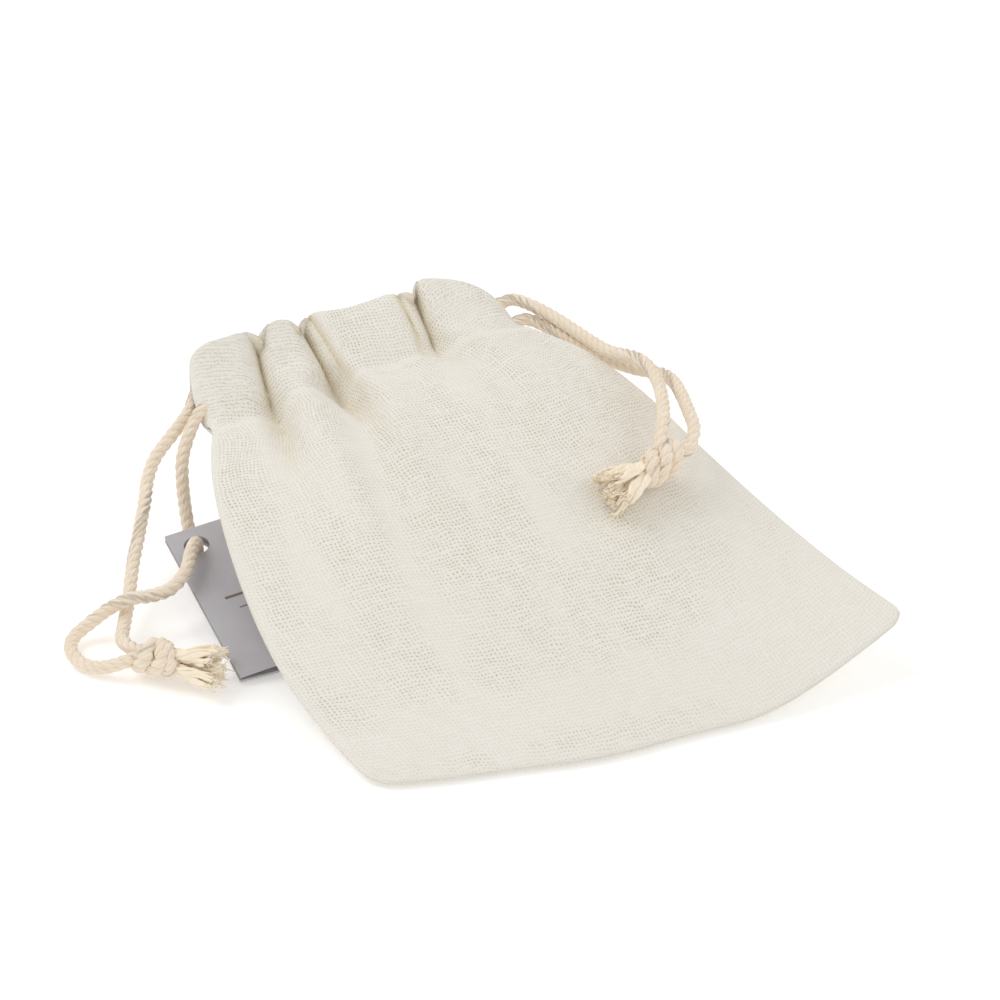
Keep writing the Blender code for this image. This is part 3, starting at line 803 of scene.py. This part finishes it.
def back_shape(r, s):
    """Underside: lies on the table, rises to the side seams, hangs as a belly under the mouth."""
    x, y, z = seam_sheet(r, s)
    up = np.clip(s - 1, 0, 1)
    x = x + (LIP_MID + LIP_REACH * r - x) * up * 0.8
    edge = z - edge_round(r, s) * 0.6
    flat = np.where(r < 0, *BACK_FLAT)
    t = np.clip((np.abs(r) - flat) / (1 - flat), 0, 1)
    lying = TABLE_GAP + (edge - TABLE_GAP) * (1 - (1 - t) ** 2)
    foot = np.clip(s / 0.12, 0, 1)
    lying = lying * foot + edge * (1 - foot)
    neck = ease(s, 0.80, 1.0)
    belly = BELLY + up * 1.6
    hung = belly + (edge + up * np.where(r < 0, *BACK_CORNER) - belly) * r * r
    z = lying * (1 - neck) + hung * neck
    fold = np.cos(r * 17.0 + 0.6) * 1.2 + np.cos(r * 29.0 + 2.0) * 0.6
    fold = fold * ease(s, 0.72, 1.05) * np.clip((1 - np.abs(r)) * 5, 0, 1)
    return stack(x, y + BACK_REACH * up + 0.4 * fold, np.maximum(z + fold, TABLE_GAP))


def make_back(mat):
    s_rows = np.concatenate([np.linspace(0, 1, 110)[:-1], np.linspace(1, 2, 24)])
    columns = np.linspace(-1, 1, 170)
    r, s = sheet_rows(s_rows, columns)
    hem_s = np.linspace(2, 1, 18)[1:]
    rh, sh = sheet_rows(hem_s, columns)
    depth = BACK_HEM * np.sqrt(np.clip(1 - ((sh - 1.5) / 0.5) ** 2, 0, 1)) + BACK_HEM_GAP
    inner = back_shape(rh, sh) + normals(back_shape, rh, sh) * depth[..., None]
    points = np.concatenate([back_shape(r, s), inner])
    contact = np.concatenate([front_contact(r, s), front_contact(rh, sh)]).ravel()
    faces = [face[::-1] for face in grid_faces(len(s_rows) + len(hem_s), len(columns))]
    item = new_mesh("back_cloth", points.reshape(-1, 3), faces, mat, cloth_uv(points, 0.2),
                    {"shade_and_tone": np.zeros(contact.size), "contact": contact})
    thick_cloth(item)
    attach(item, "pouch")
    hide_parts("back_panel", "back_channel", "back_stitching", "left_side_seam", "right_side_seam",
                "bottom_seam")


# ---------------------------------------------------------------- tag

def dress_tag(mat):
    """The card leaves keep their CAD shape; they get the card material and flat coordinates for the print."""
    turn, slope = radians(4.0), radians(11.0)
    along = np.array((-sin(turn) * cos(slope), cos(turn) * cos(slope), sin(slope)))
    level = np.cross(along, (0, 0, 1))
    level /= np.linalg.norm(level)
    corner = world((-73.0, -15.5, 1.2))
    for name in ("tag_front_leaf", "tag_back_leaf"):
        item = frame["nodes"][name]
        data = item.data
        co = np.array([v.co for v in data.vertices]) - corner
        set_uvs(data, np.stack([co @ level, co @ along], -1))
        if not item.material_slots:
            data.materials.append(mat)
        for slot in item.material_slots:
            slot.material = mat


# ---------------------------------------------------------------- stage

# Lamps: name, place and size in metres, power in watts.
LAMPS = (("key", (-0.7, 0.55, 1.1), 0.9, 6.0), ("fill", (0.9, -0.9, 1.0), 1.2, 4.2))


def make_stage():
    """White floor, even white surroundings and two soft lamps."""
    bpy.ops.mesh.primitive_plane_add(size=8.0, location=(0, 0, 0))
    floor = bpy.context.object
    floor.name = "floor"
    n = Nodes("white_floor")
    n.shader.inputs["Base Color"].default_value = (0.93, 0.93, 0.93, 1.0)
    n.shader.inputs["Roughness"].default_value = 0.9
    n.shader.inputs["Specular IOR Level"].default_value = 0.0
    n.shader.inputs["Emission Color"].default_value = (1.0, 0.99, 0.96, 1.0)
    n.shader.inputs["Emission Strength"].default_value = 0.24
    floor.data.materials.append(n.mat)
    scene = bpy.context.scene
    sky = bpy.data.worlds.new("studio")
    sky.use_nodes = True
    sky.node_tree.nodes["Background"].inputs["Color"].default_value = (1.0, 1.0, 1.0, 1.0)
    sky.node_tree.nodes["Background"].inputs["Strength"].default_value = 0.70
    scene.world = sky
    for name, place, size, power in LAMPS:
        lamp = bpy.data.lights.new(name, "AREA")
        lamp.size = size
        lamp.energy = power
        item = bpy.data.objects.new(name, lamp)
        scene.collection.objects.link(item)
        item.location = place
        item.rotation_euler = Vector(place).to_track_quat("Z", "Y").to_euler()
    scene.view_settings.view_transform = "Standard"
    scene.view_settings.look = "None"


# ---------------------------------------------------------------- scene

make_camera()
cotton_cord = cord_material("spun_cotton", (0.97, 0.87, 0.74), (0.89, 0.75, 0.58), 7.0, 300.0, 0.8)
loose_yarn = cord_material("loose_yarn", (1.0, 0.90, 0.75), (0.98, 0.86, 0.67), 2.0, 700.0, 0.2)
for strand in ROUTES:
    make_cord(strand, cotton_cord)
for knot_label, knot_seed in (("left", 3), ("right", 8)):
    make_knot(knot_label, cotton_cord)
    make_tassel(knot_label, loose_yarn, knot_seed)
muslin = weave_material("muslin", (0.88, 0.852, 0.797), (0.855, 0.826, 0.768), (0.74, 0.64, 0.45), 0.66)
make_front(muslin)
make_back(muslin)
dress_tag(card_material("grey_card", (0.51, 0.495, 0.52), (0.19, 0.15, 0.13)))
make_stage()
